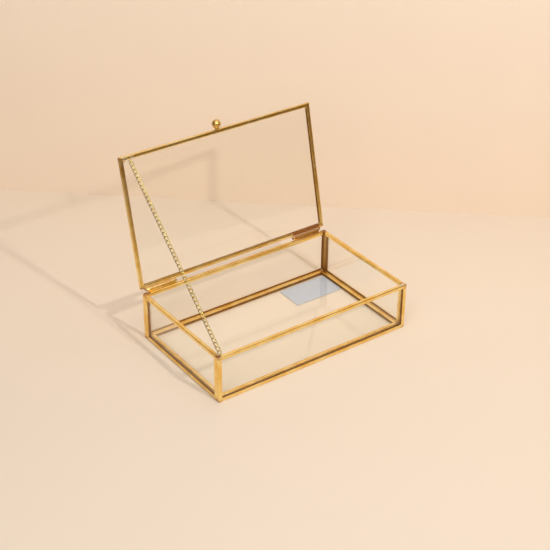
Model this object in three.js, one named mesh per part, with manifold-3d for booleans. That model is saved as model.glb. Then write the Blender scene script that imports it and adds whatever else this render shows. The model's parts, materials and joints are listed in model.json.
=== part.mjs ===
// Glass jewelry box with a hinged glass lid, held open by a fine chain.
// Five framed panes make the tray and a sixth is the lid. Every pane is a sheet of glass
// with a folded brass channel soldered round its four edges.
// Millimetres, +Z up, the front of the box towards -Y, drawn with the lid open.
import * as THREE from "three";
import { mergeVertices } from "three/addons/utils/BufferGeometryUtils.js";
import Module from "manifold-3d";

// Tray and lid
const boxWidth = 200;
const boxDepth = 120;
const boxHeight = 45;
const lidOpenAngle = THREE.MathUtils.degToRad(103);
const lidRestGap = 0.3; // closed lid above the tray's rim
const lidSetForward = 0.1; // lid's centre ahead of the tray's

// Pane: glass and the channel round it
const glassThickness = 2;
const channelThickness = 3.4;
const channelFace = 3.4; // how far the channel reaches in over the glass
const channelSheet = 0.5;
const channelBack = 0.6; // brass behind the slot
const channelRound = 0.8; // where the folded back starts to round over
const channelRoundMid = 0.24; // middle point of that rounding, from both outer faces
const glassInset = 1.2; // glass edge in from the channel's back
const seamGap = 0.3; // solder seam between neighbouring channels

// Hinges: a tube on the tray and an L-shaped pin on the lid, one pair at each end
const hingeBehind = 1.8; // axis behind the tray's back face
const hingeAbove = 0.9; // axis above the tray's rim
const barrelInner = 64; // distance of the tube's inner end from the box's middle
const barrelLength = 30;
const barrelRadius = 1.5;
const barrelBore = 0.75;
const leafThickness = 0.6;
const leafHeight = 4.5;
const leafLength = 28;
const pinRadius = 0.65;
const pinStartInset = 0.6; // inner end of the pin inside the tube
const pinElbowGap = 1.9; // tube's outer end to the middle of the pin's arm
const pinArmReach = 1.55; // axis to the arm's tip, towards the lid's rear rail
const pinArmRise = 0.95;

// Knob on the lid's front edge
const knobRadius = 3.7;
const knobCentre = 4.7; // ahead of the lid's front edge
const knobHoleRadius = 1.15;
const knobHoleDepth = 3.2;
const studRadius = 0.85;
const studLength = 2.6;
const studFlangeRadius = 1.9;
const studFlangeThickness = 0.4;

// Chain and the two rings that hold it
const eyeRadius = 1.1;
const eyeWireRadius = 0.35;
const eyeOnTray = new THREE.Vector3(-94.4, -54.95, 43.6);
const eyeOnLid = new THREE.Vector3(-90.4, -55.0, 44.1); // with the lid shut
const chainRuns = [9, 2, 6, 6, 1, 1, 6, 6, 2, 9]; // links in each rigid run, tray to lid
const chainWidth = 3.6;
const chainWaist = 2.3;
const chainThickness = 1.5;
const linkHoleLength = 1.5;
const linkHoleWidth = 1.0;
const runEndGap = 1.0; // end of a run short of its pivot
const eyeEndGap = 1.9; // end of the chain short of a ring's middle

// Blank label under the floor glass
const labelSize = new THREE.Vector2(50.5, 28.5);
const labelCentre = new THREE.Vector2(67.3, 36.7);
const labelThickness = 0.2;

const wasm = await Module();
wasm.setup();

const brass = { color: 0xd9a441, roughness: 0.28, metalness: 1 };
const chainBrass = { color: 0xcfb860, roughness: 0.3, metalness: 1 };
const clearGlass = { color: 0xeef3ee, roughness: 0.03, metalness: 0, transparent: true, opacity: 0.25 };
const paper = { color: 0xc3ccd6, roughness: 0.8, metalness: 0 };

const hingeAxis = new THREE.Vector3(0, boxDepth / 2 + hingeBehind, boxHeight + hingeAbove);
const quarterTurn = Math.PI / 2;

function part(name, geometry, look) {
  const mesh = new THREE.Mesh(geometry, new THREE.MeshStandardMaterial(look));
  mesh.name = name;
  return mesh;
}

function toSolid(geometry) {
  const bare = geometry.clone();
  bare.deleteAttribute("normal");
  bare.deleteAttribute("uv");
  const merged = mergeVertices(bare);
  const vertProperties = new Float32Array(merged.attributes.position.array);
  const triVerts = new Uint32Array(merged.index.array);
  return new wasm.Manifold(new wasm.Mesh({ numProp: 3, vertProperties, triVerts }));
}

function toGeometry(solid) {
  const mesh = solid.getMesh();
  const geometry = new THREE.BufferGeometry();
  geometry.setAttribute("position", new THREE.BufferAttribute(mesh.vertProperties, 3));
  geometry.setIndex(new THREE.BufferAttribute(mesh.triVerts, 1));
  return geometry;
}

// Section of the channel: x is depth in from the pane's edge, y is across its thickness
function channelShape() {
  const far = channelThickness;
  const slotStart = channelSheet;
  const slotEnd = far - channelSheet;
  const corners = [
    [channelRound, 0],
    [channelFace, 0],
    [channelFace, slotStart],
    [channelBack, slotStart],
    [channelBack, slotEnd],
    [channelFace, slotEnd],
    [channelFace, far],
    [channelRound, far],
    [channelRoundMid, far - channelRoundMid],
    [0, far - channelRound],
    [0, channelRound],
    [channelRoundMid, channelRoundMid],
  ];
  return new THREE.Shape(corners.map(([x, y]) => new THREE.Vector2(x, y)));
}

// One mitred channel along X, its back at y = 0 and its slot opening towards +Y
function railGeometry(length) {
  const geometry = new THREE.ExtrudeGeometry(channelShape(), { depth: length, bevelEnabled: false });
  const position = geometry.attributes.position;
  for (let i = 0; i < position.count; i += 1) {
    const mitre = position.getX(i) + seamGap / 2;
    position.setZ(i, position.getZ(i) < length / 2 ? mitre : length - mitre);
  }
  const xAxis = new THREE.Vector3(1, 0, 0);
  const yAxis = new THREE.Vector3(0, 1, 0);
  const zAxis = new THREE.Vector3(0, 0, 1);
  geometry.applyMatrix4(new THREE.Matrix4().makeBasis(yAxis, zAxis, xAxis));
  geometry.translate(-length / 2, 0, 0);
  return geometry;
}

// Glass and its four channels, lying in XY with its underside at z = 0.
// The sides are named in the order -Y, +X, +Y, -X.
function framedPane(name, width, height, sides) {
  const pane = new THREE.Group();
  sides.forEach((side, turn) => {
    const isLong = turn % 2 === 0;
    const rail = part(`${name}_rail_${side}`, railGeometry(isLong ? width : height), brass);
    const reach = (isLong ? height : width) / 2;
    rail.rotation.z = turn * quarterTurn;
    rail.position.set(Math.sin(turn * quarterTurn) * reach, -Math.cos(turn * quarterTurn) * reach, 0);
    pane.add(rail);
  });
  const sheet = new THREE.BoxGeometry(width - 2 * glassInset, height - 2 * glassInset, glassThickness);
  const glass = part(`${name}_glass`, sheet, clearGlass);
  glass.position.z = channelThickness / 2;
  pane.add(glass);
  return pane;
}

// A framed pane stood upright along X, its thickness from y = -channelThickness to 0
function uprightPane(name, width, sides) {
  const pane = framedPane(name, width, boxHeight, sides);
  pane.rotation.x = quarterTurn;
  pane.position.z = boxHeight / 2;
  const holder = new THREE.Group();
  holder.add(pane);
  return holder;
}

function tray() {
  const group = new THREE.Group();
  const endWidth = boxDepth - 2 * (channelThickness + seamGap);
  const floorWidth = boxWidth - 2 * (channelThickness + seamGap);
  group.add(framedPane("floor", floorWidth, endWidth, ["front", "right", "back", "left"]));

  const front = uprightPane("front", boxWidth, ["bottom", "right", "top", "left"]);
  front.position.y = -boxDepth / 2 + channelThickness;
  const back = uprightPane("back", boxWidth, ["bottom", "right", "top", "left"]);
  back.position.y = boxDepth / 2;
  const left = uprightPane("left", endWidth, ["bottom", "back", "top", "front"]);
  left.rotation.z = quarterTurn;
  left.position.x = -boxWidth / 2;
  const right = uprightPane("right", endWidth, ["bottom", "back", "top", "front"]);
  right.rotation.z = quarterTurn;
  right.position.x = boxWidth / 2 - channelThickness;
  group.add(front, back, left, right, floorLabel());
  return group;
}

function floorLabel() {
  const sheet = new THREE.BoxGeometry(labelSize.x, labelSize.y, labelThickness);
  const label = part("floor_label", sheet, paper);
  const glassUnderside = (channelThickness - glassThickness) / 2;
  label.position.set(labelCentre.x, labelCentre.y, glassUnderside - labelThickness / 2);
  return label;
}

// Hinge tube along X from x = 0, joined to the leaf that is soldered on the tray's back face
function barrelGeometry() {
  const profile = [
    [barrelBore, 0],
    [barrelRadius, 0],
    [barrelRadius, barrelLength],
    [barrelBore, barrelLength],
    [barrelBore, 0],
  ];
  const tube = new THREE.LatheGeometry(profile.map(([r, y]) => new THREE.Vector2(r, y)), 20);
  tube.rotateZ(-quarterTurn);
  const leaf = new THREE.BoxGeometry(leafLength, leafThickness, leafHeight);
  const leafMiddle = -hingeBehind + leafThickness / 2;
  leaf.translate(barrelLength / 2, leafMiddle, -hingeAbove - leafHeight / 2);
  const neck = new THREE.BoxGeometry(leafLength, leafThickness, 2 * hingeAbove);
  neck.translate(barrelLength / 2, leafMiddle + leafThickness / 2, -hingeAbove);
  return toGeometry(toSolid(tube).add(toSolid(leaf)).add(toSolid(neck)));
}

// Straight round wire from one point to another, run on by its own radius at the far end
function wireSolid(from, to) {
  const direction = to.clone().sub(from);
  const length = direction.length() + pinRadius;
  const wire = new THREE.CylinderGeometry(pinRadius, pinRadius, length, 12);
  wire.translate(0, length / 2, 0);
  const upright = new THREE.Vector3(0, 1, 0);
  wire.applyQuaternion(new THREE.Quaternion().setFromUnitVectors(upright, direction.normalize()));
  wire.translate(from.x, from.y, from.z);
  return toSolid(wire);
}

// Wire pin in the tube, its outer end turned towards the lid's rear rail; side is -1 left, 1 right
function pinGeometry(side) {
  const inner = new THREE.Vector3(side * (barrelInner + pinStartInset), 0, 0);
  const elbow = new THREE.Vector3(side * (barrelInner + barrelLength + pinElbowGap), 0, 0);
  const tip = new THREE.Vector3(elbow.x, -pinArmReach + pinRadius, pinArmRise);
  return toGeometry(wireSolid(inner, elbow).add(wireSolid(elbow, tip)));
}

function hingeBarrel(name, side) {
  const barrel = part(name, barrelGeometry(), brass);
  barrel.position.copy(hingeAxis);
  barrel.position.x = side > 0 ? barrelInner : -barrelInner - barrelLength;
  return barrel;
}

function knobBall() {
  const ball = new THREE.SphereGeometry(knobRadius, 20, 14);
  const hole = new THREE.CylinderGeometry(knobHoleRadius, knobHoleRadius, knobHoleDepth, 16);
  hole.translate(0, knobRadius - knobHoleDepth / 2 + seamGap, 0);
  return part("knob_ball", toGeometry(toSolid(ball).subtract(toSolid(hole))), brass);
}

// Flange against the lid's front rail, and the stud that the ball is screwed on
function knobStud() {
  const profile = [
    [0, 0],
    [studFlangeRadius, 0],
    [studFlangeRadius, studFlangeThickness],
    [studRadius, studFlangeThickness],
    [studRadius, studLength],
    [0, studLength],
  ];
  const geometry = new THREE.LatheGeometry(profile.map(([r, y]) => new THREE.Vector2(r, y)), 20);
  geometry.rotateX(Math.PI);
  return part("knob_stud", geometry, brass);
}

function chainEye(name) {
  const geometry = new THREE.TorusGeometry(eyeRadius, eyeWireRadius, 6, 14);
  geometry.rotateY(quarterTurn);
  return part(name, geometry, chainBrass);
}

function lid() {
  const group = new THREE.Group();
  const pane = framedPane("lid", boxWidth, boxDepth, ["front", "right", "rear", "left"]);
  pane.position.set(0, -lidSetForward, boxHeight + lidRestGap).sub(hingeAxis);

  const frontEdge = pane.position.y - boxDepth / 2;
  const middle = pane.position.z + channelThickness / 2;
  const stud = knobStud();
  stud.position.set(0, frontEdge - seamGap, middle);
  const ball = knobBall();
  ball.position.set(0, frontEdge - knobCentre, middle);
  const eye = chainEye("chain_eye_lid");
  eye.position.copy(eyeOnLid).sub(hingeAxis);

  group.add(pane, stud, ball, eye);
  group.add(part("hinge_pin_left", pinGeometry(-1), brass), part("hinge_pin_right", pinGeometry(1), brass));
  group.position.copy(hingeAxis);
  group.rotation.x = -lidOpenAngle;
  return group;
}

// Outline of a run of links along +Y: each link bulges to the full width between waists
function chainRunShape(start, end, pitch) {
  const halfWidth = (y) => {
    const bulge = Math.sqrt(Math.abs(Math.sin((Math.PI * y) / pitch)));
    return (chainWaist + (chainWidth - chainWaist) * bulge) / 2;
  };
  const step = pitch / 4;
  const stations = [start];
  for (let y = step * Math.ceil(start / step + 0.5); y < end - step / 2; y += step) {
    stations.push(y);
  }
  stations.push(end);
  const rightSide = stations.map((y) => new THREE.Vector2(halfWidth(y), y));
  const leftSide = rightSide.map((point) => new THREE.Vector2(-point.x, point.y)).reverse();
  return new THREE.Shape([...rightSide, ...leftSide]);
}

// Rigid run of flat links from y = 0 to y = links * pitch, open in the middle of every link
function chainRunGeometry(links, pitch, startGap, endGap) {
  const shape = chainRunShape(startGap, links * pitch - endGap, pitch);
  for (let i = 0; i < links; i += 1) {
    const middle = (i + 0.5) * pitch;
    const nearStart = middle - linkHoleLength < startGap;
    const nearEnd = middle + linkHoleLength > links * pitch - endGap;
    if (!nearStart && !nearEnd) {
      const hole = new THREE.Path();
      hole.absellipse(0, middle, linkHoleWidth / 2, linkHoleLength / 2, 0, 2 * Math.PI, true);
      shape.holes.push(hole);
    }
  }
  const geometry = new THREE.ExtrudeGeometry(shape, {
    depth: chainThickness,
    curveSegments: 2,
    bevelEnabled: false,
  });
  geometry.translate(0, 0, -chainThickness / 2);
  return geometry;
}

// The taut chain, split into the rigid runs that fold when the lid shuts
function chain() {
  const tiltToOpen = new THREE.Matrix4().makeRotationX(-lidOpenAngle);
  const lidEnd = eyeOnLid.clone().sub(hingeAxis).applyMatrix4(tiltToOpen).add(hingeAxis);
  const along = lidEnd.clone().sub(eyeOnTray);
  const linkCount = chainRuns.reduce((sum, links) => sum + links, 0);
  const pitch = along.length() / linkCount;
  along.normalize();
  const across = new THREE.Vector3(1, 0, 0).addScaledVector(along, -along.x).normalize();
  const outward = new THREE.Vector3().crossVectors(across, along);

  const group = new THREE.Group();
  group.position.copy(eyeOnTray);
  group.quaternion.setFromRotationMatrix(new THREE.Matrix4().makeBasis(across, along, outward));
  let done = 0;
  chainRuns.forEach((links, index) => {
    const startGap = index === 0 ? eyeEndGap : runEndGap;
    const endGap = index === chainRuns.length - 1 ? eyeEndGap : runEndGap;
    const geometry = chainRunGeometry(links, pitch, startGap, endGap);
    const run = part(`chain_run_${String(index + 1).padStart(2, "0")}`, geometry, chainBrass);
    run.position.y = done * pitch;
    done += links;
    group.add(run);
  });
  return group;
}

const box = new THREE.Group();
const trayEye = chainEye("chain_eye_tray");
trayEye.position.copy(eyeOnTray);
box.add(
  tray(),
  hingeBarrel("hinge_barrel_left", -1),
  hingeBarrel("hinge_barrel_right", 1),
  trayEye,
  lid(),
  chain(),
);

// The origin is on the ground in the middle of the open box's outline
box.updateMatrixWorld(true);
const outline = new THREE.Box3().setFromObject(box, true);
box.position.y = -(outline.min.y + outline.max.y) / 2;

export default box;
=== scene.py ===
import json
import math

import bmesh
import bpy
from mathutils import Matrix, Vector, noise


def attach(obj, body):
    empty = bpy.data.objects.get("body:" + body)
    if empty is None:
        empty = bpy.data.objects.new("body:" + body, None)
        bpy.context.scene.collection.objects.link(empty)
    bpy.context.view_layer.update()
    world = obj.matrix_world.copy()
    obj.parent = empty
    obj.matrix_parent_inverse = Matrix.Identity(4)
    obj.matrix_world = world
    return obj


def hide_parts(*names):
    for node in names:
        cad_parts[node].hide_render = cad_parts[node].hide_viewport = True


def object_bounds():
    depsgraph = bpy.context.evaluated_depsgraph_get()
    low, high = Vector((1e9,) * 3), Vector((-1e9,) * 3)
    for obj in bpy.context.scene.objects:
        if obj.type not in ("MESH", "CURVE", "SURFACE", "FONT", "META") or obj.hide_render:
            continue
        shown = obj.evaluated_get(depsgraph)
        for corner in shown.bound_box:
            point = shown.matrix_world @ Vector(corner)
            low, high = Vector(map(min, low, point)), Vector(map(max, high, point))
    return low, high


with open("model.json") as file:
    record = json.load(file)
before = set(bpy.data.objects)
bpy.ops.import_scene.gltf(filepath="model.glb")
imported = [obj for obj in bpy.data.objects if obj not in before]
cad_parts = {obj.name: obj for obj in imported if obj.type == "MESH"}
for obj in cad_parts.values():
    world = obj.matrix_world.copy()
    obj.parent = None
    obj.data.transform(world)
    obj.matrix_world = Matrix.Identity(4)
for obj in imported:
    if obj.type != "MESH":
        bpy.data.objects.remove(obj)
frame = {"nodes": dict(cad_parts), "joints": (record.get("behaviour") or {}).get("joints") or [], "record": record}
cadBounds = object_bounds()
bodies = frame["record"]["behaviour"]["bodies"]
joints = {joint["name"]: joint for joint in frame["joints"]}
mm = 0.001
print("frame loaded with", len(frame["nodes"]), "nodes")

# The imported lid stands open. Its pieces are built shut, square to the tray, then turned open.
lidHinge = joints["lid_hinge"]
hingePoint = Vector(lidHinge["pos_m"])
openAngle = math.radians(lidHinge["range_deg"][1])
toHinge = Matrix.Translation(hingePoint)
openTurn = toHinge @ Matrix.Rotation(-openAngle, 4, Vector(lidHinge["axis"])) @ toHinge.inverted()


def restTurn(body):
    return openTurn if body == "lid" else Matrix.Identity(4)


def bodyOf(node):
    return next(body for body, nodes in bodies.items() if node in nodes)


def squareBox(node):
    # lowest and highest corner of a CAD node, with the lid shut
    squared = restTurn(bodyOf(node)).inverted()
    corners = [squared @ vertex.co for vertex in frame["nodes"][node].data.vertices]
    low = Vector([min(corner[i] for corner in corners) for i in range(3)])
    high = Vector([max(corner[i] for corner in corners) for i in range(3)])
    return low, high


def wobble(x, y, z, size):
    # smooth noise from -1 to 1, with bumps about as long as size
    return noise.noise(Vector((x, y, z)) / size)


class Wire:
    # one socket of a material; arithmetic on it adds the nodes that work it out
    def __init__(self, tree, socket):
        self.tree = tree
        self.socket = socket

    def isVector(self):
        return self.socket.type in {"VECTOR", "RGBA"}

    def combine(self, operation, first, second):
        asVector = any(isinstance(side, Wire) and side.isVector() for side in (first, second))
        kind = "ShaderNodeVectorMath" if asVector else "ShaderNodeMath"
        return addNode(self.tree, kind, {"operation": operation}, {0: first, 1: second})

    def __add__(self, other):
        return self.combine("ADD", self, other)

    def __radd__(self, other):
        return self.combine("ADD", other, self)

    def __sub__(self, other):
        return self.combine("SUBTRACT", self, other)

    def __rsub__(self, other):
        return self.combine("SUBTRACT", other, self)

    def __mul__(self, other):
        return self.combine("MULTIPLY", self, other)

    def __rmul__(self, other):
        return self.combine("MULTIPLY", other, self)

    def __pow__(self, power):
        return self.combine("POWER", self, power)

    def output(self, name):
        return Wire(self.tree, self.socket.node.outputs[name])


def addNode(tree, kind, settings=None, sockets=None):
    # settings go first, because they decide which sockets a node has
    node = tree.nodes.new(kind)
    for name, value in (settings or {}).items():
        setattr(node, name, value)
    for key, value in (sockets or {}).items():
        if isinstance(key, int):
            socket = node.inputs[key]
        else:
            socket = next(s for s in node.inputs if s.name == key and s.enabled)
        if isinstance(value, Wire):
            tree.links.new(value.socket, socket)
        elif isinstance(value, (int, float)) and socket.type in {"VECTOR", "RGBA"}:
            socket.default_value = [value] * len(socket.default_value)
        else:
            socket.default_value = value
    shown = next((s for s in node.outputs if s.enabled), None)
    return Wire(tree, shown)


class Finish:
    # a material being built, and the nodes that the finishes have in common
    def __init__(self, name):
        self.material = bpy.data.materials.new(name)
        self.material.use_nodes = True
        self.tree = self.material.node_tree
        self.tree.nodes.clear()

    def node(self, kind, settings=None, sockets=None):
        return addNode(self.tree, kind, settings, sockets)

    def place(self):
        return self.node("ShaderNodeTexCoord").output("Object")

    def mark(self, name, output="Fac"):
        wire = self.node("ShaderNodeAttribute", {"attribute_name": name})
        return wire.output(output)

    def noise(self, vector, scale, detail, roughness=0.55):
        sockets = {"Vector": vector, "Scale": scale, "Detail": detail, "Roughness": roughness}
        return self.node("ShaderNodeTexNoise", None, sockets)

    def span(self, value, low, high):
        # 0 below low, 1 above high, smooth between
        sockets = {"Value": value, "From Min": low, "From Max": high}
        return self.node("ShaderNodeMapRange", {"interpolation_type": "SMOOTHSTEP"}, sockets)

    def blend(self, mask, first, second):
        sockets = {"Factor": mask, "A": first, "B": second}
        return self.node("ShaderNodeMix", {"data_type": "RGBA"}, sockets)

    def bump(self, height, strength, distance):
        sockets = {"Height": height, "Strength": strength, "Distance": distance}
        return self.node("ShaderNodeBump", None, sockets)

    def close(self, shader):
        self.node("ShaderNodeOutputMaterial", None, {"Surface": shader})
        return self.material


def colour(red, green, blue):
    return (red, green, blue, 1.0)


brassLook = dict(
    pale=colour(0.99, 0.77, 0.33),
    deep=colour(0.90, 0.58, 0.15),
    # dark brown for tarnish and for painted shade
    tarnishAndShade=colour(0.27, 0.115, 0.02),
    copper=colour(0.50, 0.22, 0.075),
    roughness=0.17,
    streakScale=(45.0, 2600.0, 2600.0),  # along the metal and across it
    cloudScale=70.0,
    spotScale=420.0,
    bumpStrength=0.35,
    bumpDepth=0.00012,
)


def brassFinish(name, look):
    # rolled brass: streaks along the metal, cloudy lacquer, dark brown where marked (real tarnish, and painted
    # shade in the slots, folds and bore), copper by the solder
    finish = Finish(name)
    place = finish.place()
    grain = finish.mark("grain", "Vector")
    streaks = finish.noise(grain * look["streakScale"], 1.0, 4.0)
    clouds = finish.noise(place, look["cloudScale"], 3.0)
    spots = finish.noise(place, look["spotScale"], 2.0)
    # this mark holds real tarnish and painted shade alike; both turn the metal dark brown
    tarnishAndShade = finish.mark("tarnishAndShade") * (0.75 + 0.5 * clouds)
    scorch = finish.mark("scorch") * (0.55 + 0.9 * spots)
    base = finish.blend(finish.span(clouds, 0.35, 0.68), look["pale"], look["deep"])
    specks = finish.span(spots, 0.66, 0.78) * 0.45
    base = finish.blend(specks, base, look["tarnishAndShade"])
    base = finish.blend(finish.span(scorch, 0.15, 0.8), base, look["copper"])
    base = finish.blend(finish.span(tarnishAndShade, 0.05, 0.85), base, look["tarnishAndShade"])
    height = 0.6 * streaks + 0.5 * spots + 1.5 * clouds
    sockets = {
        "Base Color": base,
        "Metallic": 1.0,
        "Roughness": look["roughness"] + 0.16 * streaks + 0.22 * tarnishAndShade + 0.16 * scorch,
        "Normal": finish.bump(height, look["bumpStrength"], look["bumpDepth"]),
    }
    return finish.close(finish.node("ShaderNodeBsdfPrincipled", None, sockets))


# the chain and its rings are the same brass, greener and duller
chainLook = dict(
    brassLook,
    pale=colour(0.88, 0.74, 0.29),
    deep=colour(0.66, 0.50, 0.15),
    tarnishAndShade=colour(0.17, 0.09, 0.014),
    roughness=0.2,
)

solderLooks = dict(
    pale=dict(light=colour(0.95, 0.85, 0.62), dark=colour(0.60, 0.46, 0.28), roughness=0.24),
    brown=dict(light=colour(0.64, 0.38, 0.16), dark=colour(0.30, 0.14, 0.05), roughness=0.3),
    red=dict(light=colour(0.44, 0.18, 0.11), dark=colour(0.14, 0.04, 0.035), roughness=0.34),
    gold=dict(light=colour(0.86, 0.62, 0.28), dark=colour(0.58, 0.36, 0.13), roughness=0.26),
)
solderSurface = dict(frostScale=2200.0, hollowScale=600.0, bumpStrength=0.3, bumpDepth=0.00006)


def solderFinish(name, look):
    # a frozen run of solder: a little frosted, with darker flux left in its hollows
    finish = Finish(name)
    place = finish.place()
    frost = finish.noise(place, solderSurface["frostScale"], 4.0, 0.6)
    hollows = finish.noise(place, solderSurface["hollowScale"], 2.0)
    height = frost + 2.0 * hollows
    sockets = {
        "Base Color": finish.blend(finish.span(hollows, 0.35, 0.65), look["dark"], look["light"]),
        "Metallic": 1.0,
        "Roughness": look["roughness"] + 0.25 * frost,
        "Normal": finish.bump(height, solderSurface["bumpStrength"], solderSurface["bumpDepth"]),
    }
    return finish.close(finish.node("ShaderNodeBsdfPrincipled", None, sockets))


glassLook = dict(
    tint=colour(0.997, 0.998, 0.985),
    headOn=0.024,  # share mirrored by a pane that is looked at squarely
    edgePower=4.0,  # how late the mirroring rises towards a low angle
    smudge=0.01,
    smearScale=45.0,
    roughness=0.02,
)


def glassFinish(name, look):
    # a thin pane: light goes straight through, and each face mirrors a little, most at a low angle
    finish = Finish(name)
    place = finish.place()
    facing = finish.node("ShaderNodeLayerWeight", None, {"Blend": 0.5}).output("Facing")
    smears = finish.noise(place * (1.0, 1.0, 3.0), look["smearScale"], 5.0, 0.65)
    clear = (1.0 - look["headOn"]) * (1.0 - facing ** look["edgePower"])
    mirrored = 1.0 - clear + look["smudge"] * finish.span(smears, 0.5, 0.75)
    through = finish.node("ShaderNodeBsdfTransparent", None, {"Color": look["tint"]})
    glossSockets = {"Color": 1.0, "Roughness": look["roughness"] + 0.03 * smears}
    gloss = finish.node("ShaderNodeBsdfGlossy", None, glossSockets)
    mixed = finish.node("ShaderNodeMixShader", None, {0: mirrored, 1: through, 2: gloss})
    return finish.close(mixed)


paperLook = dict(
    sheet=colour(0.525, 0.565, 0.635),
    shade=colour(0.47, 0.505, 0.575),
    roughness=0.7,
    specular=0.3,
    fibreScale=1500.0,
    cloudScale=90.0,
    bumpStrength=0.25,
    bumpDepth=0.00005,
)


def paperFinish(name, look):
    # plain paper: fine fibres, longer one way, and a cloudy tone
    finish = Finish(name)
    place = finish.place()
    fibres = finish.noise(place * (1.0, 3.0, 1.0), look["fibreScale"], 4.0, 0.7)
    clouds = finish.noise(place, look["cloudScale"], 2.0)
    sockets = {
        "Base Color": finish.blend(0.5 * fibres + 0.5 * clouds, look["shade"], look["sheet"]),
        "Roughness": look["roughness"] + 0.2 * fibres,
        "Specular IOR Level": look["specular"],
        "Normal": finish.bump(fibres, look["bumpStrength"], look["bumpDepth"]),
    }
    return finish.close(finish.node("ShaderNodeBsdfPrincipled", None, sockets))


finishes = dict(
    brass=brassFinish("polishedBrass", brassLook),
    chain=brassFinish("chainBrass", chainLook),
    glass=glassFinish("paneGlass", glassLook),
    paper=paperFinish("labelPaper", paperLook),
)
for solderName, solderLook in solderLooks.items():
    finishes["solder" + solderName.title()] = solderFinish(solderName + "Solder", solderLook)
print("finishes made:", len(finishes))


def makePiece(name, points, faces, body, finishName, replaced=(), marks=None, sharpAngle=38):
    # points are in the row frame, the lid's as if it were shut; each mark has a value for every point
    mesh = bpy.data.meshes.new(name)
    turn = restTurn(body)
    mesh.from_pydata([turn @ Vector(point) for point in points], [], faces)
    marks = dict(marks or {})
    marks.setdefault("grain", [tuple(point) for point in points])
    for markName, values in marks.items():
        if markName == "grain":
            attribute = mesh.attributes.new(markName, "FLOAT_VECTOR", "POINT")
            attribute.data.foreach_set("vector", [number for value in values for number in value])
        else:
            attribute = mesh.attributes.new(markName, "FLOAT", "POINT")
            attribute.data.foreach_set("value", values)
    shell = bmesh.new()
    shell.from_mesh(mesh)
    bmesh.ops.recalc_face_normals(shell, faces=shell.faces)
    shell.to_mesh(mesh)
    shell.free()
    mesh.shade_smooth()
    mesh.set_sharp_from_angle(angle=math.radians(sharpAngle))
    mesh.materials.append(finishes[finishName])
    piece = bpy.data.objects.new(name, mesh)
    bpy.context.scene.collection.objects.link(piece)
    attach(piece, body)
    if replaced:
        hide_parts(*replaced)


def ringFaces(rings, sides, closed):
    # quads between rings of points that lie one after another
    faces = []
    for ring in range(rings if closed else rings - 1):
        for side in range(sides):
            here = ring * sides
            there = (ring + 1) % rings * sides
            beside = (side + 1) % sides
            faces.append((here + side, here + beside, there + beside, there + side))
    if not closed:
        faces.append(tuple(range(sides)))
        faces.append(tuple((rings - 1) * sides + side for side in range(sides)))
    return faces


channel = dict(
    sheet=0.7 * mm,  # folded brass sheet
    foldRadius=0.75 * mm,
    foldSteps=5,
    lipSteps=4,
    lipShade=(0.1, 0.58),  # share of painted shade, brown, at the start of a lip's round tip and at its end
    slotDepth=0.5 * mm,  # from the lips down to the putty that beds the glass
    puttyRound=0.1 * mm,
    crown=0.09 * mm,  # how far the faces belly out
    lipShadeWidth=0.55 * mm,  # band of painted shade, brown, along each lip
    seam=0.07 * mm,  # what each mitred end stops short of its corner
    station=4.0 * mm,  # distance between sections
    wave=0.05 * mm,  # hand-folded unevenness, out and sideways
    waveSizes=(0.016, 0.023),
    settle=6.0 * mm,  # the unevenness and the crown fade over this length at each end
    dentWidth=1.1 * mm,
    heatReach=3.2 * mm,  # how far the heat tint runs from a soldered corner
)


def channelOutline(face, thickness):
    # half of the section, from the middle of the back round a fold and a lip to the slot's floor;
    # each point is depth from the back, distance across, and its share of dark brown, which is painted shade along
    # the lips and in the slot
    crown, fold, sheet = channel["crown"], channel["foldRadius"], channel["sheet"]
    tip = sheet / 2
    half = [(-crown, thickness / 2, 0.0), (-0.6 * crown, thickness * 0.36, 0.0)]
    for step in range(channel["foldSteps"] + 1):
        angle = math.pi / 2 * step / channel["foldSteps"]
        half.append((fold * (1 - math.cos(angle)), fold * (1 - math.sin(angle)), 0.0))
    lipStart = face - tip
    for share in (0.35, 0.7):
        belly = crown * math.sin(math.pi * share)
        half.append((fold + (lipStart - fold) * share, -belly, 0.0))
    # painted shade: brown starts on the lip's face and deepens round its tip into the slot
    startBrown, endBrown = channel["lipShade"]
    half.append((lipStart - channel["lipShadeWidth"] / 2, -0.01 * mm, startBrown))
    for step in range(channel["lipSteps"] + 1):
        share = step / channel["lipSteps"]
        depth = lipStart + tip * math.sin(math.pi * share)
        brown = startBrown + (endBrown - startBrown) * share
        half.append((depth, tip * (1 - math.cos(math.pi * share)), brown))
    putty = face - channel["slotDepth"]
    # painted shade: the slot's floor by the putty is full dark brown
    half.append((putty + channel["puttyRound"], sheet, 1.0))
    half.append((putty, sheet + channel["puttyRound"], 1.0))
    mirrored = [(depth, thickness - across, brown) for depth, across, brown in reversed(half[1:])]
    return half + mirrored


# small knocks: place along the rail from its middle, as a share of its length, and depth
dents = dict(
    front_rail_bottom=[(-0.31, 0.16 * mm)],
    lid_rail_front=[(0.44, 0.14 * mm)],
    lid_rail_right=[(-0.28, 0.14 * mm), (0.3, 0.1 * mm)],
)

# how much darker brown some rails are painted all over, at their low end and their high end
brownerRails = dict(
    back_rail_right=(0.62, 0.62),
    right_rail_back=(0.56, 0.56),
    lid_rail_left=(0.55, 0.0),
    lid_rail_right=(0.3, 0.24),
    lid_rail_front=(0.1, 0.2),
)

# share of full heat tint at each pane's corners, and along the lid's rear rail over each hinge,
# where it starts a little past the tube's ends and grows to its full strength
heatTint = dict(
    corners=0.6,
    lidHinges=dict(left=0.12, right=0.95),
    pastTube=2.0 * mm,
    growth=3.0 * mm,
)


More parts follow.
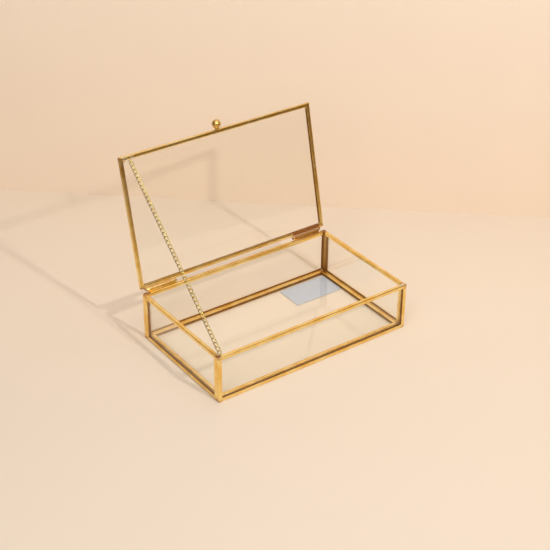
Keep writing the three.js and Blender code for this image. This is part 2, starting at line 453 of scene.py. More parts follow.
def hingeHeat(x):
    # copper colour where the hinge pins were soldered to the lid
    tint = 0.0
    for side, strength in heatTint["lidHinges"].items():
        low, high = squareBox("hinge_barrel_" + side)
        inside = min(x - low.x, high.x - x) + heatTint["pastTube"]
        tint = max(tint, strength * min(1.0, max(0.0, inside / heatTint["growth"])))
    return tint


def dentDepth(node, x, length):
    # how deep a rail's knocks are at distance x from its middle
    depth = 0.0
    for place, dip in dents.get(node, []):
        depth += dip * math.exp(-((x - place * length) / channel["dentWidth"]) ** 2)
    return depth


def railAxes(pane, size, middle):
    # which axes run along a rail, out from its pane and through the glass, and the sign of out
    glassLow, glassHigh = squareBox(pane + "_glass")
    away = middle - (glassLow + glassHigh) / 2
    lengthAxis = max(range(3), key=lambda axis: size[axis])
    outAxis = max(range(3), key=lambda axis: abs(away[axis]))
    return lengthAxis, outAxis, 3 - lengthAxis - outAxis, math.copysign(1.0, away[outAxis])


def makeRail(pane, node):
    # one folded channel of a pane, mitred at both ends, its slot towards the glass
    low, high = squareBox(node)
    size = high - low
    middle = (low + high) / 2
    lengthAxis, outAxis, acrossAxis, outSign = railAxes(pane, size, middle)
    along, outward, across = Vector(), Vector(), Vector()
    along[lengthAxis] = 1.0
    outward[outAxis] = outSign
    across[acrossAxis] = 1.0
    length, face, thickness = size[lengthAxis], size[outAxis], size[acrossAxis]
    back = middle + outward * face / 2
    outline = channelOutline(face, thickness)
    stations = max(3, round(length / channel["station"]))
    lowBrown, highBrown = brownerRails.get(node, (0.0, 0.0))
    liftSize, swaySize = channel["waveSizes"]
    seed = sum(ord(letter) for letter in node) * 0.37  # makes each rail's unevenness its own
    points, grain, tarnishAndShade, scorch = [], [], [], []
    for station in range(stations + 1):
        share = station / stations
        travelled = 0.0
        previous = outline[0]
        for depth, side, brown in outline:
            travelled += math.hypot(depth - previous[0], side - previous[1])
            previous = (depth, side)
            end = length / 2 - max(depth, 0.0) - channel["seam"]
            x = end * (2 * share - 1)
            fromEnd = length / 2 - abs(x)
            settle = min(1.0, fromEnd / channel["settle"])
            lift = channel["wave"] * settle * wobble(x, seed, 0.0, liftSize)
            sway = channel["wave"] * settle * wobble(x, seed, 0.31, swaySize)
            crowned = depth * settle if depth < 0 else depth  # flat at the ends, where the solder goes
            inward = crowned + lift + dentDepth(node, x, length)
            point = back + along * x - outward * inward + across * (side - thickness / 2 + sway)
            point.z = max(point.z, cadBounds[0].z)  # the box stands level on its rails
            points.append(point)
            grain.append((x, travelled, seed))
            # the darker of the painted shade in the lips and slot and the rail's all-over brown
            tarnishAndShade.append(max(brown, lowBrown + (highBrown - lowBrown) * share))
            corner = heatTint["corners"] * math.exp(-fromEnd / channel["heatReach"])
            hinged = hingeHeat(point.x) if node == "lid_rail_rear" else 0.0
            scorch.append(max(corner, hinged))
    faces = ringFaces(stations + 1, len(outline), False)
    marks = dict(grain=grain, tarnishAndShade=tarnishAndShade, scorch=scorch)
    makePiece(node.replace("_rail_", "_channel_"), points, faces, bodyOf(node), "brass", [node], marks)


panes = [node[: -len("_glass")] for node in frame["nodes"] if node.endswith("_glass")]
for pane in sorted(panes):
    for node in sorted(frame["nodes"]):
        if node.startswith(pane + "_rail_"):
            makeRail(pane, node)
print("channels folded round", len(panes), "panes")


glassArris = dict(width=0.25 * mm, segments=2)  # the ground edge of each sheet

for pane in panes:
    sheet = frame["nodes"][pane + "_glass"]
    sheet.data.materials.clear()
    sheet.data.materials.append(finishes["glass"])
    arris = sheet.modifiers.new("arris", "BEVEL")
    arris.width = glassArris["width"]
    arris.segments = glassArris["segments"]
    sheet.visible_shadow = False  # the lamps reach the floor through every pane
print("panes ground and glazed")


def sweptWire(path, up, radius, sides, closed, flat=None):
    # a round wire along a path; flat is how far from the path's plane the wire is ground level
    up = Vector(up).normalized()
    rings = len(path)
    points, grain = [], []
    travelled = 0.0
    for i, centre in enumerate(path):
        before = path[i - 1] if i or closed else path[i]
        after = path[(i + 1) % rings] if i < rings - 1 or closed else path[i]
        travelled += (centre - before).length
        tangent = (after - before).normalized()
        outward = tangent.cross(up).normalized()
        upward = outward.cross(tangent)
        for side in range(sides):
            angle = 2 * math.pi * side / sides
            point = centre + radius * (math.cos(angle) * outward + math.sin(angle) * upward)
            if flat is not None:
                height = (point - path[0]).dot(up)
                point = point - up * (height - max(-flat, min(flat, height)))
            points.append(point)
            grain.append((travelled, angle * radius, 0.0))
    return points, ringFaces(rings, sides, closed), grain


chainParts = dict(
    pitch=3.816 * mm,
    wire=0.42 * mm,  # radius
    halfWidth=1.5 * mm,  # to the middle of the wire
    twist=0.52 * mm,
    flatAt=0.72 * mm,  # where the links are ground flat
    pathSteps=28,
    sides=12,
    shadeInside=0.85,  # painted shade, dark brown on the inside of a link
    brownAll=0.06,
    ringRadius=1.1 * mm,
    ringWire=0.35 * mm,
)
trayEnd = Vector(joints["chain_joint_01"]["pos_m"])
lidEnd = Vector(joints["chain_joint_10"]["pos_m"])
chainAlong = (lidEnd - trayEnd).normalized()
chainAcross = (Vector((1, 0, 0)) - chainAlong * chainAlong.x).normalized()
chainOut = chainAcross.cross(chainAlong)
linkCount = round((lidEnd - trayEnd).length / chainParts["pitch"])
linkPitch = (lidEnd - trayEnd).length / linkCount


def linkGeometry(start, end):
    # a curb link between two distances along the chain: an oval, twisted so that it lies flat
    middle = (start + end) / 2
    reach = (end - start) / 2
    path = []
    for step in range(chainParts["pathSteps"]):
        angle = 2 * math.pi * step / chainParts["pathSteps"]
        along = middle + reach * math.cos(angle)
        across = chainParts["halfWidth"] * math.sin(angle)
        out = chainParts["twist"] * math.sin(2 * angle)
        path.append(trayEnd + chainAlong * along + chainAcross * across + chainOut * out)
    wire, sides, flatAt = chainParts["wire"], chainParts["sides"], chainParts["flatAt"]
    points, faces, grain = sweptWire(path, chainOut, wire, sides, True, flatAt)
    tarnishAndShade = []
    for index in range(len(points)):
        # painted shade on one side of the wire, and a little brown all over
        inward = -math.cos(2 * math.pi * (index % sides) / sides)
        tarnishAndShade.append(chainParts["shadeInside"] * max(0.0, inward) + chainParts["brownAll"])
    return points, faces, grain, tarnishAndShade


def runSpan(run):
    # where a CAD run of the chain starts and ends, along the chain
    places = [(vertex.co - trayEnd).dot(chainAlong) for vertex in frame["nodes"][run].data.vertices]
    return min(places), max(places)


runs = sorted(node for node in frame["nodes"] if node.startswith("chain_run_"))
spans = {run: runSpan(run) for run in runs}
linksOf = {run: [] for run in runs}
for link in range(linkCount):
    centre = (link + 0.5) * linkPitch
    nearest = min(runs, key=lambda run: max(spans[run][0] - centre, centre - spans[run][1], 0.0))
    linksOf[nearest].append(link)

linkReach = linkPitch / 2 + chainParts["wire"]
endLinkStart = chainParts["ringRadius"] - chainParts["ringWire"] - chainParts["wire"]  # inside its ring
for run in runs:
    points, faces, grain, tarnishAndShade = [], [], [], []
    for link in linksOf[run]:
        centre = (link + 0.5) * linkPitch
        start = centre - linkReach if link > 0 else endLinkStart
        end = centre + linkReach if link < linkCount - 1 else linkCount * linkPitch - endLinkStart
        linkPoints, linkFaces, linkGrain, linkTarnishAndShade = linkGeometry(start, end)
        faces += [tuple(index + len(points) for index in face) for face in linkFaces]
        points += linkPoints
        grain += linkGrain
        tarnishAndShade += linkTarnishAndShade
    name = run.replace("chain_run_", "curb_links_")
    marks = dict(grain=grain, tarnishAndShade=tarnishAndShade)
    makePiece(name, points, faces, run, "chain", [run], marks, 60)
print("chain linked:", linkCount, "links in", len(runs), "runs")

# the wire ring at each end of the chain: an oval, which way it is long, and its shift that way
ringShapes = dict(
    tray=dict(
        node="chain_eye_tray",
        centre=trayEnd,
        long=chainAlong,
        halfLength=1.15 * mm,
        halfWidth=1.1 * mm,
        shift=0.0,
    ),
    lid=dict(
        node="chain_eye_lid",
        centre=lidEnd,
        long=openTurn.to_3x3() @ Vector((0.0, -0.35, 0.937)),  # up to the lid's front channel
        halfLength=1.5 * mm,
        halfWidth=1.05 * mm,
        shift=0.35 * mm,
    ),
)
ringSteps = dict(path=32, sides=10)


def makeRing(body, shape):
    # the wire ring that an end of the chain hangs on
    squared = restTurn(body).inverted()
    sideways = chainAcross.cross(shape["long"]).normalized()
    path = []
    for step in range(ringSteps["path"]):
        angle = 2 * math.pi * step / ringSteps["path"]
        along = shape["shift"] + shape["halfLength"] * math.cos(angle)
        out = shape["halfWidth"] * math.sin(angle)
        path.append(squared @ (shape["centre"] + shape["long"] * along + sideways * out))
    up = squared.to_3x3() @ chainAcross
    points, faces, grain = sweptWire(path, up, chainParts["ringWire"], ringSteps["sides"], True)
    name = body + "_chain_ring"
    makePiece(name, points, faces, body, "chain", [shape["node"]], dict(grain=grain), 60)


for body, shape in ringShapes.items():
    makeRing(body, shape)
print("chain rings bent")


def lathed(profile, sides, turn, hollow=False):
    # a turned part: profile holds radius and height, and its ends close on the axis unless it is hollow
    grainRadius = 2 * mm  # the grain round the axis is measured at this radius
    points, grain = [], []
    travelled = 0.0
    previous = profile[0]
    for radius, height in profile:
        travelled += math.hypot(radius - previous[0], height - previous[1])
        previous = (radius, height)
        for side in range(sides):
            angle = 2 * math.pi * side / sides
            points.append(turn @ Vector((radius * math.cos(angle), radius * math.sin(angle), height)))
            grain.append((angle * grainRadius, travelled, 0.0))
    return points, ringFaces(len(profile), sides, hollow), grain


def arcPoints(centre, radius, start, end, steps):
    # points of an arc from one angle to another, in degrees
    points = []
    for step in range(steps + 1):
        angle = math.radians(start + (end - start) * step / steps)
        points.append((centre[0] + radius * math.cos(angle), centre[1] + radius * math.sin(angle)))
    return points


knob = dict(
    neckRadius=0.95 * mm,
    neckFillet=0.3 * mm,
    collarRadius=1.5 * mm,
    collarHeight=0.5 * mm,
    flangeRadius=2.1 * mm,
    flangeHeight=0.45 * mm,
    rounding=0.12 * mm,
    tipRadius=0.02 * mm,  # of the small flat that closes an end
    studReach=0.8,  # how far into the ball the stud goes, as a share of its radius from the middle
    sides=40,
    ballSteps=26,
    ballSwell=1.1,  # against the CAD ball
    dullness=0.38,
)


def makeKnob():
    # a turned ball with a small collar, and the flanged stud that it is screwed on
    low, high = squareBox("knob_ball")
    centre = (low + high) / 2
    radius = (high.z - low.z) / 2 * knob["ballSwell"]
    toAxis = Matrix.Rotation(math.pi / 2, 4, "X")  # height runs forward, along -Y
    rounding, tip = knob["rounding"], knob["tipRadius"]
    collar = knob["collarRadius"]
    bottom = -math.degrees(math.acos(collar / radius))
    foot = radius * math.sin(math.radians(bottom)) - knob["collarHeight"]
    ballStart, ballEnd = bottom + 1.5, 89.6  # degrees: from just past the collar to just short of the pole
    profile = [(tip, foot), (collar - rounding, foot)]
    profile += arcPoints((collar - rounding, foot + rounding), rounding, -90, 0, 3)
    profile += arcPoints((0.0, 0.0), radius, ballStart, ballEnd, knob["ballSteps"])
    ballTurn = Matrix.Translation(centre) @ toAxis
    points, faces, grain = lathed(profile, knob["sides"], ballTurn)
    marks = dict(grain=grain, tarnishAndShade=[knob["dullness"]] * len(points))
    makePiece("knob", points, faces, "lid", "brass", ["knob_ball"], marks, 50)

    studBack = squareBox("knob_stud")[1].y
    neck, fillet = knob["neckRadius"], knob["neckFillet"]
    flange, top = knob["flangeRadius"], knob["flangeHeight"]
    length = studBack - centre.y - radius * knob["studReach"]
    profile = [(tip, 0.0), (flange, 0.0)]
    profile += arcPoints((flange - rounding, top - rounding), rounding, 0, 90, 3)
    profile += arcPoints((neck + fillet, top + fillet), fillet, 270, 180, 4)
    profile += [(neck, length), (tip, length)]
    studTurn = Matrix.Translation(Vector((centre.x, studBack, centre.z))) @ toAxis
    points, faces, grain = lathed(profile, knob["sides"], studTurn)
    makePiece("knob_post", points, faces, "lid", "brass", ["knob_stud"], dict(grain=grain), 50)


makeKnob()
print("knob turned")


hingeParts = dict(
    tubeRadius=1.5 * mm,
    boreRadius=0.8 * mm,
    lipRound=0.18 * mm,
    tubeWave=0.03 * mm,
    tubeSides=36,
    tubeRings=14,
    # painted shade in the tube's bore
    boreShade=0.9,
    leafThickness=0.6 * mm,
    leafRound=1.2 * mm,  # lower corners
    leafTopRound=0.3 * mm,
    leafEdge=0.12 * mm,  # bevel
    leafInset=1.0 * mm,  # shorter than the tube at each end
    leafFront=1.8 * mm,  # from the hinge's axis to the leaf's front
    leafFoot=1.0 * mm,  # height of the browner strip along its lower edge
    leafTarnish=(0.45, 0.1),  # on that strip and above it
    pinRadius=0.65 * mm,
    pinSides=14,
    pinSteps=12,
    elbowRadius=1.3 * mm,
    elbowSteps=6,
    armPastRail=0.1 * mm,
    armUp=0.95 * mm,  # from the hinge's axis
    pinScorch=(0.3, 0.8),  # inside the tube and at the solder
    tubeScorch=dict(left=0.08, right=0.5),
)


def makeTube(side):
    # a rolled tube with rounded ends, its bore painted dark brown as shade
    node = "hinge_barrel_" + side
    low, high = squareBox(node)
    length = high.x - low.x
    outer, bore, lip = hingeParts["tubeRadius"], hingeParts["boreRadius"], hingeParts["lipRound"]
    profile = arcPoints((bore + lip, lip), lip, 180, 270, 3)
    profile += arcPoints((outer - lip, lip), lip, 270, 360, 3)
    for ring in range(1, hingeParts["tubeRings"]):
        along = lip + (length - 2 * lip) * ring / hingeParts["tubeRings"]
        profile.append((outer + hingeParts["tubeWave"] * wobble(along, low.x, 0.0, 0.005), along))
    profile += arcPoints((outer - lip, length - lip), lip, 0, 90, 3)
    profile += arcPoints((bore + lip, length - lip), lip, 90, 180, 3)
    start = Vector((low.x, hingePoint.y, hingePoint.z))
    turn = Matrix.Translation(start) @ Matrix.Rotation(math.pi / 2, 4, "Y")
    points, faces, grain = lathed(profile, hingeParts["tubeSides"], turn, hollow=True)
    grain = [(along, around, flat) for around, along, flat in grain]  # streaks run along the tube
    tarnishAndShade = []
    for point in points:
        fromAxis = math.hypot(point.y - hingePoint.y, point.z - hingePoint.z)
        # painted shade: the bore and the inner part of its lips are dark brown
        tarnishAndShade.append(hingeParts["boreShade"] if fromAxis < outer - 2 * lip else 0.0)
    scorch = [hingeParts["tubeScorch"][side]] * len(points)
    marks = dict(grain=grain, tarnishAndShade=tarnishAndShade, scorch=scorch)
    makePiece("hinge_tube_" + side, points, faces, "tray", "brass", [node], marks, 50)


def makeLeaf(side):
    # the strip that carries the tube: flat against the back channel, its top edge lapped up to the tube
    low, high = squareBox("hinge_barrel_" + side)
    thick, edge = hingeParts["leafThickness"], hingeParts["leafEdge"]
    rounding, topRound = hingeParts["leafRound"], hingeParts["leafTopRound"]
    left, right = low.x + hingeParts["leafInset"], high.x - hingeParts["leafInset"]
    bottom, top = low.z, hingePoint.z - hingeParts["tubeRadius"] * 0.5
    outline = []
    for centre, radius, start in (
        ((right - rounding, bottom + rounding), rounding, 270),
        ((right - topRound, top - topRound), topRound, 0),
        ((left + topRound, top - topRound), topRound, 90),
        ((left + rounding, bottom + rounding), rounding, 180),
    ):
        outline += arcPoints(centre, radius, start, start + 90, 5)
    leafFront = hingePoint.y - hingeParts["leafFront"]
    footTarnish, leafTarnish = hingeParts["leafTarnish"]
    middle = Vector(((left + right) / 2, 0.0, (bottom + top) / 2))
    points, tarnishAndShade = [], []
    layers = ((0.0, edge), (edge, 0.0), (thick - edge, 0.0), (thick, edge))
    for depth, shrink in layers:
        for x, z in outline:
            towards = Vector((middle.x - x, 0.0, middle.z - z)).normalized()
            points.append(Vector((x, leafFront + depth, z)) + towards * shrink)
            tarnishAndShade.append(footTarnish if z < bottom + hingeParts["leafFoot"] else leafTarnish)
    faces = ringFaces(len(layers), len(outline), False)
    marks = dict(tarnishAndShade=tarnishAndShade, scorch=[hingeParts["tubeScorch"][side]] * len(points))
    makePiece("hinge_leaf_" + side, points, faces, "tray", "brass", (), marks, 50)


def pinPlaces(side):
    # which way a pin points, where it starts in the tube, and where its arm goes up to the lid
    low, high = squareBox("hinge_pin_" + side)
    if side == "right":
        return 1, low.x, high.x - hingeParts["pinRadius"]
    return -1, high.x, low.x + hingeParts["pinRadius"]


def makePin(side):
    # wire in the tube, bent round outside it to the lid's rear channel
    sign, inner, armX = pinPlaces(side)
    elbow = hingeParts["elbowRadius"]
    corner = Vector((armX, hingePoint.y, hingePoint.z))
    tipY = squareBox("lid_rail_rear")[1].y + hingeParts["armPastRail"]
    tip = Vector((armX, tipY, hingePoint.z + hingeParts["armUp"]))
    armAway = (tip - corner).normalized()
    path = []
    for step in range(hingeParts["pinSteps"] + 1):
        x = inner + (armX - sign * elbow - inner) * step / hingeParts["pinSteps"]
        path.append(Vector((x, hingePoint.y, hingePoint.z)))
    for step in range(1, hingeParts["elbowSteps"] + 1):
        angle = math.pi / 2 * step / hingeParts["elbowSteps"]
        bend = Vector((sign * elbow * (math.sin(angle) - 1), 0.0, 0.0))
        path.append(corner + bend + armAway * elbow * (1 - math.cos(angle)))
    if (tip - corner).length > elbow:
        path.append(tip)
    up = Vector((1, 0, 0)).cross(armAway)
    points, faces, grain = sweptWire(path, up, hingeParts["pinRadius"], hingeParts["pinSides"], False)
    tubeEnd, soldered = hingeParts["pinScorch"]
    scorch = [soldered if abs(point.x - armX) < elbow else tubeEnd for point in points]
    marks = dict(grain=grain, scorch=scorch)
    makePiece("hinge_wire_" + side, points, faces, "lid", "brass", ["hinge_pin_" + side], marks, 60)


for side in ("left", "right"):
    makeTube(side)
    makeLeaf(side)
    makePin(side)
print("hinges rolled and pinned")


lumps = dict(coarse=1.6, fine=4.1, fineShare=0.4)  # frequencies, and how much of the fine one

# each kind of drop: the seed of its first one, and how lumpy it is
drops = dict(
    rim=(0.5, 0.15),
    foot=(4.5, 0.15),
    floor=(8.5, 0.3),
    run=(12.5, 0.15),
    bead=(16.5, 0.2),
    lidRing=(21.0, 0.15),
    trayRing=(23.0, 0.25),
    pin=(30.0, 0.25),
    tube=(34.0, 0.15),
)


def makeDrop(kind, name, centre, radii, body, finishName, index=0):
    # a frozen drop of solder; radii are its half sizes in millimetres
    firstSeed, rough = drops[kind]
    seed = firstSeed + index
    halfSizes = [radius * mm for radius in radii]
    shell = bmesh.new()
    bmesh.ops.create_icosphere(shell, subdivisions=4, radius=1.0)
    coarseSeed = Vector((seed, seed * 1.7, 0.3))
    fineSeed = Vector((seed * 2.1, 0.9, seed))
    points = []
    for vertex in shell.verts:
        direction = vertex.co.normalized()
        lump = 1.0 + rough * noise.noise(direction * lumps["coarse"] + coarseSeed)
        lump += lumps["fineShare"] * rough * noise.noise(direction * lumps["fine"] + fineSeed)
        points.append(centre + Vector([direction[i] * halfSizes[i] * lump for i in range(3)]))
    faces = [tuple(vertex.index for vertex in face.verts) for face in shell.faces]
    shell.free()
    makePiece(name, points, faces, body, finishName, (), {}, 80)


# lowest and highest corners of the tray and of the shut lid
rimLow, rimHigh = squareBox("front_rail_top")
trayLow = Vector((rimLow.x, rimLow.y, squareBox("front_rail_bottom")[0].z))
trayHigh = Vector((rimHigh.x, squareBox("back_rail_top")[1].y, rimHigh.z))
lidLow = squareBox("lid_rail_left")[0]
lidLow.y = squareBox("lid_rail_front")[0].y
lidHigh = squareBox("lid_rail_right")[1]
lidHigh.y = squareBox("lid_rail_rear")[1].y

# solder on the tray's rim, low enough for the shut lid: half its length, half its width and
# its height, in millimetres
rimSolder = dict(
    front_left=dict(finish="solderRed", along=1.7, across=1.3, proud=0.15),
    front_right=dict(finish="solderPale", along=3.6, across=1.7, proud=0.16),
    back_left=dict(finish="solderBrown", along=3.8, across=1.8, proud=0.17),
    back_right=dict(finish="solderBrown", along=3.0, across=1.8, proud=0.17),
)

# more solder at every corner of the tray, round its foot and inside on the floor: how far in,
# how far up and its half sizes, in millimetres
cornerSolder = dict(
    foot=dict(finish="solderGold", inset=1.05, up=1.3, radii=(1.15, 1.15, 1.1)),
    floor=dict(finish="solderBrown", inset=3.9, up=3.5, radii=(1.6, 1.4, 0.7)),
)
rimInset = 1.9 * mm


def cornerPoint(low, high, corner, inset, z):
    # a point in from one corner of a box seen from above, at height z
    x = low.x + inset if corner.endswith("left") else high.x - inset
    y = low.y + inset if corner.startswith("front") else high.y - inset
    return Vector((x, y, z))


def solderTray():
    for index, (corner, bead) in enumerate(rimSolder.items()):
        spot = cornerPoint(trayLow, trayHigh, corner, rimInset, trayHigh.z)
        spot.x = cornerPoint(trayLow, trayHigh, corner, bead["along"] * mm, 0.0).x
        radii = (bead["along"], bead["across"], bead["proud"])
        makeDrop("rim", "rim_solder_" + corner, spot, radii, "tray", bead["finish"], index)
        for kind, drop in cornerSolder.items():
            height = trayLow.z + drop["up"] * mm
            spot = cornerPoint(trayLow, trayHigh, corner, drop["inset"] * mm, height)
            name = kind + "_solder_" + corner
            makeDrop(kind, name, spot, drop["radii"], "tray", drop["finish"], index)


# solder on the lid: bright runs on its front channel, and a bead inside each corner; places are
# from the corner, from the front and up from the lid's underside, in millimetres
lidSolder = dict(
    runs=(
        dict(fromCorner=5.7, along=2.2, across=1.2),
        dict(fromCorner=12.6, along=2.4, across=1.1),
    ),
    runFromFront=2.0,
    runProud=0.16,
    beadInset=4.0,
    beadUp=0.6,
    bead=(1.2, 1.0, 0.42),
)

# solder that holds the chain's rings
ringSolder = dict(
    lid=dict(fromFront=4.2, up=0.4, radii=(1.5, 0.75, 0.45)),
    tray=dict(inset=3.9, down=0.5, radii=(1.4, 1.2, 1.1)),
)


def solderLid():
    for index, run in enumerate(lidSolder["runs"]):
        x = lidLow.x + run["fromCorner"] * mm
        spot = Vector((x, lidLow.y + lidSolder["runFromFront"] * mm, lidLow.z))
        radii = (run["along"], run["across"], lidSolder["runProud"])
        name = "lid_solder_run_%d" % (index + 1)
        makeDrop("run", name, spot, radii, "lid", "solderPale", index)
    beadHeight = lidLow.z + lidSolder["beadUp"] * mm
    for index, corner in enumerate(rimSolder):
        spot = cornerPoint(lidLow, lidHigh, corner, lidSolder["beadInset"] * mm, beadHeight)
        makeDrop("bead", "lid_bead_" + corner, spot, lidSolder["bead"], "lid", "solderGold", index)


def solderRings():
    bead = ringSolder["lid"]
    x = (openTurn.inverted() @ lidEnd).x
    spot = Vector((x, lidLow.y + bead["fromFront"] * mm, lidLow.z + bead["up"] * mm))
    makeDrop("lidRing", "ring_solder_lid", spot, bead["radii"], "lid", "solderPale")
    bead = ringSolder["tray"]
    height = trayEnd.z - bead["down"] * mm
    spot = cornerPoint(trayLow, trayHigh, "front_left", bead["inset"] * mm, height)
    makeDrop("trayRing", "ring_solder_tray", spot, bead["radii"], "tray", "solderRed")


# solder at the hinges, in millimetres: on the pins' arms, and between each tube and the back channel
hingeSolder = dict(
    pin=dict(out=0.1, up=1.0, radii=(1.5, 0.8, 1.1)),
    tube=dict(out=0.55, down=0.1, lengthShare=0.42, across=0.75, proud=0.45),
    tubeFinish=dict(left="solderGold", right="solderBrown"),
)


def solderHinges():
    arm, seam = hingeSolder["pin"], hingeSolder["tube"]
    for side in ("left", "right"):
        sign, _, armX = pinPlaces(side)
        spot = Vector((armX, lidHigh.y + arm["out"] * mm, hingePoint.z + arm["up"] * mm))
        makeDrop("pin", "pin_solder_" + side, spot, arm["radii"], "lid", "solderBrown", sign)
        low, high = squareBox("hinge_barrel_" + side)
        middleX = (low.x + high.x) / 2
        spot = Vector((middleX, trayHigh.y + seam["out"] * mm, trayHigh.z - seam["down"] * mm))
        radii = ((high.x - low.x) / mm * seam["lengthShare"], seam["across"], seam["proud"])
        finishName = hingeSolder["tubeFinish"][side]
        makeDrop("tube", "tube_solder_" + side, spot, radii, "tray", finishName, sign)


solderTray()
solderLid()
solderRings()
solderHinges()
print("corners, rings and hinges soldered")


label = dict(
    curl=0.12 * mm,  # how far its loose corner hangs
    curlFrom=1.5,  # how near that corner the curl starts: 2 is at the corner, 0 at the opposite one
    gap=0.01 * mm,  # between the paper and the glass
    underGap=0.08 * mm,  # from the CAD label's underside up to the paper
    ripple=0.012 * mm,
    columns=16,
    rows=10,
)


def makeLabel():
    # blank paper stuck under the floor glass, one corner lifting a little
    low, high = squareBox("floor_label")
    columns, rows = label["columns"], label["rows"]
    across = columns + 1
    layerSize = across * (rows + 1)
    points, faces = [], []
    for layer, sheetHeight in enumerate((low.z + label["underGap"], high.z - label["gap"])):
        for row in range(rows + 1):
            for column in range(across):
                u = column / columns
                v = row / rows
                x = low.x + (high.x - low.x) * u
                y = low.y + (high.y - low.y) * v
                lift = label["curl"] * max(0.0, u + (1 - v) - label["curlFrom"]) * 2
                z = sheetHeight - lift + label["ripple"] * wobble(x, y, 0.0, 0.01)
                points.append(Vector((x, y, z)))
        for row in range(rows):
            for column in range(columns):
                first = layer * layerSize + row * across + column
                faces.append((first, first + 1, first + across + 1, first + across))
    edge = list(range(across))
    edge += [row * across + columns for row in range(1, rows + 1)]
    edge += [rows * across + column for column in range(columns - 1, -1, -1)]
    edge += [row * across for row in range(rows - 1, 0, -1)]
    for here, there in zip(edge, edge[1:] + edge[:1]):
        faces.append((here, there, there + layerSize, here + layerSize))
    makePiece("blank_label", points, faces, "tray", "paper", ["floor_label"], {}, 50)


makeLabel()
print("label stuck")


stage = dict(
    floorColour=colour(0.805, 0.685, 0.555),
    wallColour=colour(0.94, 0.797, 0.66),
    wallFootShade=colour(0.925, 0.762, 0.60),
    footFade=0.34,  # height by which the painted shade at the wall's foot has gone
    mottle=0.985,  # brightness of the darker patches
    roughness=0.75,
    specular=0.2,
    floorHalf=3.0,
    wallTurn=-40.7,  # of the wall's foot from the X axis, degrees
    wallDistance=0.2248,  # behind the origin
    wallHalfLength=2.2,
    wallHeight=0.62,
)


def stageFinish(name, base, footShade=None):
    # painted board with a faint mottle; one with painted shade, darker and warmer towards its foot, is a wall, and
    # isn't seen from behind
    finish = Finish(name)
    place = finish.place()
    mottle = finish.noise(place, 3.0, 4.0)
    tooth = finish.noise(place, 900.0, 3.0)
    darker = colour(*[stage["mottle"] * part for part in base[:3]])
    tone = finish.blend(mottle, darker, base)
    # painted shade: the wall darker and warmer towards its foot
    if footShade:
        height = finish.node("ShaderNodeSeparateXYZ", None, {"Vector": place}).output("Z")
        tone = finish.blend(finish.span(height, 0.0, stage["footFade"]), footShade, tone)
    sockets = {
        "Base Color": tone,
        "Roughness": stage["roughness"],
        "Specular IOR Level": stage["specular"],
        "Normal": finish.bump(tooth, 0.08, 0.0002),
    }
    shader = finish.node("ShaderNodeBsdfPrincipled", None, sockets)
    if footShade:
        behind = finish.node("ShaderNodeNewGeometry").output("Backfacing")
        clear = finish.node("ShaderNodeBsdfTransparent", None, {"Color": 1.0})
        shader = finish.node("ShaderNodeMixShader", None, {0: behind, 1: shader, 2: clear})
    return finish.close(shader)


def makeBoard(name, foot, sideways, up, material):
    # a flat board from the middle of its foot, out to both sides and up
    corners = [foot - sideways, foot + sideways, foot + sideways + up, foot - sideways + up]
    mesh = bpy.data.meshes.new(name)
    mesh.from_pydata(corners, [], [(0, 1, 2, 3)])
    mesh.materials.append(material)
    board = bpy.data.objects.new(name, mesh)
    bpy.context.scene.collection.objects.link(board)
    return board


floorLevel = cadBounds[0].z


def makeFloor():
    half = stage["floorHalf"]
    foot = Vector((0, -half, floorLevel))
    paint = stageFinish("studioFloor", stage["floorColour"])
    makeBoard("studio_floor", foot, Vector((half, 0, 0)), Vector((0, 2 * half, 0)), paint)


def makeWall():
    turn = Matrix.Rotation(math.radians(stage["wallTurn"]), 3, "Z")
    foot = turn @ Vector((0, stage["wallDistance"], floorLevel))
    sideways = turn @ Vector((stage["wallHalfLength"], 0, 0))
    paint = stageFinish("studioWall", stage["wallColour"], stage["wallFootShade"])
    makeBoard("studio_wall", foot, sideways, Vector((0, 0, stage["wallHeight"])), paint)


# a dark card that only the shiny metal and glass see, as a studio sets beside brass
flag = dict(
    direction=-59.0,  # from the X axis, degrees
    distance=0.55,
    halfWidth=0.75,
    height=0.9,
    lift=0.001,  # clear of the floor
    tone=colour(0.15, 0.10, 0.055),
)


def makeFlag():
    turn = Matrix.Rotation(math.radians(flag["direction"]), 3, "Z")
    foot = turn @ Vector((flag["distance"], 0, floorLevel + flag["lift"]))
    sideways = turn @ Vector((0, flag["halfWidth"], 0))
    paint = stageFinish("darkCard", flag["tone"])
    card = makeBoard("dark_card", foot, sideways, Vector((0, 0, flag["height"])), paint)
    card.visible_camera = False
    card.visible_diffuse = False
    card.visible_shadow = False
    card.visible_transmission = False


makeFloor()
makeWall()
makeFlag()
print("stage set")


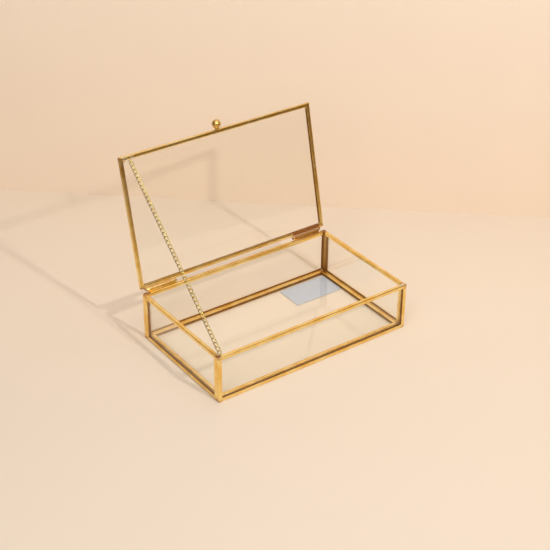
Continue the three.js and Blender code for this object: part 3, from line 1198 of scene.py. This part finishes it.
lamps = dict(
    key=dict(place=(0.178, -1.326, 1.17), size=0.07, power=9.5, colour=(1.0, 0.97, 0.94)),
    overhead=dict(place=(-0.1, -0.3, 1.3), size=1.4, power=10.0, colour=(1.0, 0.99, 0.98)),
    fill=dict(place=(-1.1, -1.0, 1.1), size=1.0, power=9.0, colour=(1.0, 0.99, 0.98)),
)
lampTarget = Vector((0, 0, 0.05))


def addLamp(name, lamp):
    data = bpy.data.lights.new(name, "AREA")
    data.shape = "SQUARE"
    data.size = lamp["size"]
    data.energy = lamp["power"]
    data.color = lamp["colour"]
    holder = bpy.data.objects.new(name, data)
    holder.location = lamp["place"]
    holder.rotation_mode = "QUATERNION"
    holder.rotation_quaternion = (lampTarget - Vector(lamp["place"])).to_track_quat("-Z", "Y")
    bpy.context.scene.collection.objects.link(holder)


for lampName, lamp in lamps.items():
    addLamp(lampName + "_lamp", lamp)

room = dict(colour=colour(0.55, 0.48, 0.42), strength=0.22)
world = bpy.data.worlds.new("dimStudio")
world.use_nodes = True
backdrop = world.node_tree.nodes["Background"]
backdrop.inputs["Color"].default_value = room["colour"]
backdrop.inputs["Strength"].default_value = room["strength"]
bpy.context.scene.world = world
print("studio lit")


camera = dict(
    azimuth=-35.9,
    elevation=31.51,
    roll=0.606,
    distance=1.2132,
    aim=(0.0133, 0.0019, 0.045),
    lens=88.83,
    sensor=36.0,
    nearest=0.01,
    farthest=20.0,
)


def addCamera():
    azimuth, elevation = math.radians(camera["azimuth"]), math.radians(camera["elevation"])
    level = math.cos(elevation)
    back = Vector((math.sin(azimuth) * level, -math.cos(azimuth) * level, math.sin(elevation)))
    data = bpy.data.cameras.new("studio_camera")
    data.lens = camera["lens"]
    data.sensor_width = camera["sensor"]
    data.clip_start = camera["nearest"]
    data.clip_end = camera["farthest"]
    holder = bpy.data.objects.new("studio_camera", data)
    holder.location = Vector(camera["aim"]) + back * camera["distance"]
    facing = (-back).to_track_quat("-Z", "Y").to_matrix().to_4x4()
    rolled = facing @ Matrix.Rotation(math.radians(camera["roll"]), 4, "Z")
    holder.rotation_mode = "QUATERNION"
    holder.rotation_quaternion = rolled.to_quaternion()
    bpy.context.scene.collection.objects.link(holder)
    bpy.context.scene.camera = holder


addCamera()
bpy.context.scene.view_settings.view_transform = "Standard"
bpy.context.scene.view_settings.look = "None"
print("camera placed")
